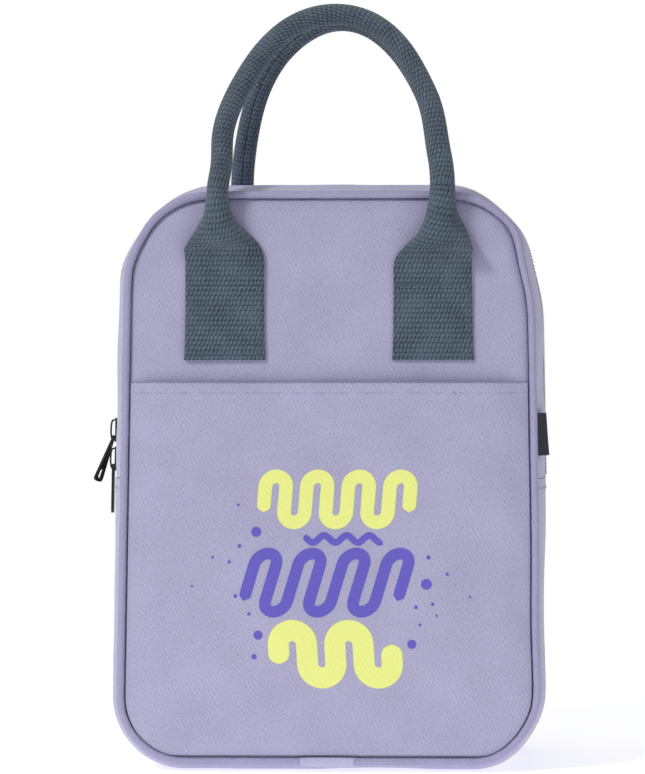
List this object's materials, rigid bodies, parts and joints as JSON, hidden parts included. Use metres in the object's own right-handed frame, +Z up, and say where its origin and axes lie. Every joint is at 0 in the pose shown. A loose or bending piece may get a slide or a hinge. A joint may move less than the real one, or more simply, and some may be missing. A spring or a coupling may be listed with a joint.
{
  "type": "insulated lunch bag",
  "caption": "Soft insulated lunch bag with a zip front that folds down, a slip pocket and rolled webbing handles.",
  "frame": {"origin": "middle of the flat underside that the bag stands on", "axes": "+Z up, the front panel and its pocket face -Y, +X to the right of a person facing the front"},
  "size_m": [0.2258, 0.1518, 0.3787],
  "materials": {
    "canvas": "lilac cotton twill canvas, matt",
    "piping": "lilac canvas cut on the bias over a cord, matt",
    "webbing": "slate blue cotton webbing, coarse weave, matt",
    "foam": "pale closed-cell foam",
    "foil_lining": "silver heat-sealed lining, slight sheen",
    "zip_tape": "woven polyester zip tape",
    "zip_coil": "nylon coil, slight sheen",
    "gunmetal": "gunmetal plated zinc, satin",
    "binding": "pale woven binding tape",
    "woven_label": "dark woven label, plain"
  },
  "bodies": {
    "shell": {"back_panel": "canvas", "back_foam": "foam", "back_lining": "foil_lining", "back_gusset_strip": "canvas", "back_gusset_foam": "foam", "back_gusset_lining": "foil_lining", "base_gusset": "canvas", "base_gusset_foam": "foam", "base_gusset_lining": "foil_lining", "back_piping": "piping", "back_zip_tape": "zip_tape", "back_zip_coil": "zip_coil", "back_binding": "binding", "back_handle_left_end": "webbing", "back_handle_right_end": "webbing", "front_panel_base": "canvas", "front_foam_base": "foam", "front_lining_base": "foil_lining", "front_piping_base": "piping", "front_binding_base": "binding", "pocket_base": "canvas", "piping_join_patch": "piping"},
    "front_flap": {"front_panel_flap": "canvas", "front_foam_flap": "foam", "front_lining_flap": "foil_lining", "front_piping_flap": "piping", "front_binding_flap": "binding", "pocket_flap": "canvas", "front_gusset_strip": "canvas", "front_gusset_foam": "foam", "front_gusset_lining": "foil_lining", "front_zip_tape": "zip_tape", "front_zip_coil": "zip_coil", "side_label": "woven_label", "front_handle_left_end": "webbing", "front_handle_right_end": "webbing"},
    "front_handle": {"front_handle_loop": "webbing"},
    "back_handle": {"back_handle_loop": "webbing"},
    "upper_slider": {"upper_slider_body": "gunmetal"},
    "lower_slider": {"lower_slider_body": "gunmetal"},
    "upper_pull": {"upper_pull_tab": "gunmetal"},
    "lower_pull": {"lower_pull_tab": "gunmetal"}
  },
  "joints": [
    {"name": "flap_open", "type": "hinge", "parent": "shell", "child": "front_flap", "pos_m": [0, -0.0688, 0.1415], "axis": [1, 0, 0], "range_deg": [0, 55]},
    {"name": "front_handle_swing", "type": "hinge", "parent": "front_flap", "child": "front_handle", "pos_m": [0, -0.0653, 0.252], "axis": [1, 0, 0], "range_deg": [0, 140]},
    {"name": "back_handle_swing", "type": "hinge", "parent": "shell", "child": "back_handle", "pos_m": [0, 0.0653, 0.252], "axis": [-1, 0, 0], "range_deg": [0, 140]},
    {"name": "upper_slider_travel", "type": "slide", "parent": "shell", "child": "upper_slider", "axis": [0.017, 0, 0.9999], "range_m": [0, 0.068]},
    {"name": "lower_slider_travel", "type": "slide", "parent": "shell", "child": "lower_slider", "axis": [0.017, 0, 0.9999], "range_m": [-0.0015, 0]},
    {"name": "upper_pull_swing", "type": "hinge", "parent": "upper_slider", "child": "upper_pull", "pos_m": [-0.10932, 0, 0.16131], "axis": [0, 1, 0], "range_deg": [0, 105]},
    {"name": "lower_pull_swing", "type": "hinge", "parent": "lower_slider", "child": "lower_pull", "pos_m": [-0.10957, 0, 0.14701], "axis": [0, 1, 0], "range_deg": [0, 30]}
  ]
}
